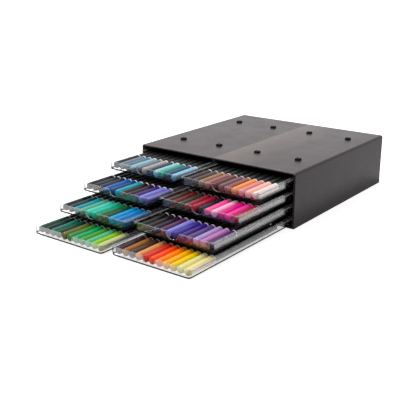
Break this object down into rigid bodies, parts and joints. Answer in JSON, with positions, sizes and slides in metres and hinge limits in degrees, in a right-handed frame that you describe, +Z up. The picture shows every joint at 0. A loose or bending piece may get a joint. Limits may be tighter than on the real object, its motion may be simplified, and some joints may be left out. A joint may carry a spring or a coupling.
{
  "type": "pencil drawer box",
  "caption": "Low black casing with two columns of clear sliding trays, each holding one layer of round markers, with square studs on top for stacking.",
  "frame": {"origin": "centre of the casing's underside, on the surface that it stands on", "axes": "+Z up, -Y towards the user, the way the drawers open, +X to the user's right. At rest the drawers stand open in a stair, as in the picture"},
  "size_m": [0.3012, 0.5569, 0.0904],
  "materials": {
    "casing_plastic": "satin moulded black polystyrene",
    "rail_plastic": "satin moulded black polystyrene",
    "stud_rubber": "matt black rubber",
    "clear_plastic": "clear polished polystyrene",
    "barrel_plastic": "smooth black polypropylene",
    "caps_left_1": "smooth coloured polypropylene",
    "caps_left_2": "smooth coloured polypropylene",
    "caps_left_3": "smooth coloured polypropylene",
    "caps_left_4": "smooth coloured polypropylene",
    "caps_right_1": "smooth coloured polypropylene",
    "caps_right_2": "smooth coloured polypropylene",
    "caps_right_3": "smooth coloured polypropylene",
    "caps_right_4": "smooth coloured polypropylene"
  },
  "bodies": {
    "casing": {"casing_shell": "casing_plastic", "base_plate": "casing_plastic", "centre_divider": "rail_plastic", "left_rail_panel": "rail_plastic", "right_rail_panel": "rail_plastic", "stacking_studs": "stud_rubber"},
    "drawer_left_1": {"drawer_left_1": "clear_plastic", "marker_caps_left_1": "caps_left_1", "marker_barrels_left_1": "barrel_plastic"},
    "drawer_left_2": {"drawer_left_2": "clear_plastic", "marker_caps_left_2": "caps_left_2", "marker_barrels_left_2": "barrel_plastic"},
    "drawer_left_3": {"drawer_left_3": "clear_plastic", "marker_caps_left_3": "caps_left_3", "marker_barrels_left_3": "barrel_plastic"},
    "drawer_left_4": {"drawer_left_4": "clear_plastic", "marker_caps_left_4": "caps_left_4", "marker_barrels_left_4": "barrel_plastic"},
    "drawer_right_1": {"drawer_right_1": "clear_plastic", "marker_caps_right_1": "caps_right_1", "marker_barrels_right_1": "barrel_plastic"},
    "drawer_right_2": {"drawer_right_2": "clear_plastic", "marker_caps_right_2": "caps_right_2", "marker_barrels_right_2": "barrel_plastic"},
    "drawer_right_3": {"drawer_right_3": "clear_plastic", "marker_caps_right_3": "caps_right_3", "marker_barrels_right_3": "barrel_plastic"},
    "drawer_right_4": {"drawer_right_4": "clear_plastic", "marker_caps_right_4": "caps_right_4", "marker_barrels_right_4": "barrel_plastic"}
  },
  "joints": [
    {"name": "slide_left_1", "type": "slide", "parent": "casing", "child": "drawer_left_1", "axis": [0, -1, 0], "range_m": [-0.0896, 0.1664]},
    {"name": "slide_left_2", "type": "slide", "parent": "casing", "child": "drawer_left_2", "axis": [0, -1, 0], "range_m": [-0.15104, 0.10496]},
    {"name": "slide_left_3", "type": "slide", "parent": "casing", "child": "drawer_left_3", "axis": [0, -1, 0], "range_m": [-0.20224, 0.05376]},
    {"name": "slide_left_4", "type": "slide", "parent": "casing", "child": "drawer_left_4", "axis": [0, -1, 0], "range_m": [-0.25088, 0.00512]},
    {"name": "slide_right_1", "type": "slide", "parent": "casing", "child": "drawer_right_1", "axis": [0, -1, 0], "range_m": [-0.0896, 0.1664]},
    {"name": "slide_right_2", "type": "slide", "parent": "casing", "child": "drawer_right_2", "axis": [0, -1, 0], "range_m": [-0.13824, 0.11776]},
    {"name": "slide_right_3", "type": "slide", "parent": "casing", "child": "drawer_right_3", "axis": [0, -1, 0], "range_m": [-0.19456, 0.06144]},
    {"name": "slide_right_4", "type": "slide", "parent": "casing", "child": "drawer_right_4", "axis": [0, -1, 0], "range_m": [-0.2432, 0.0128]}
  ]
}
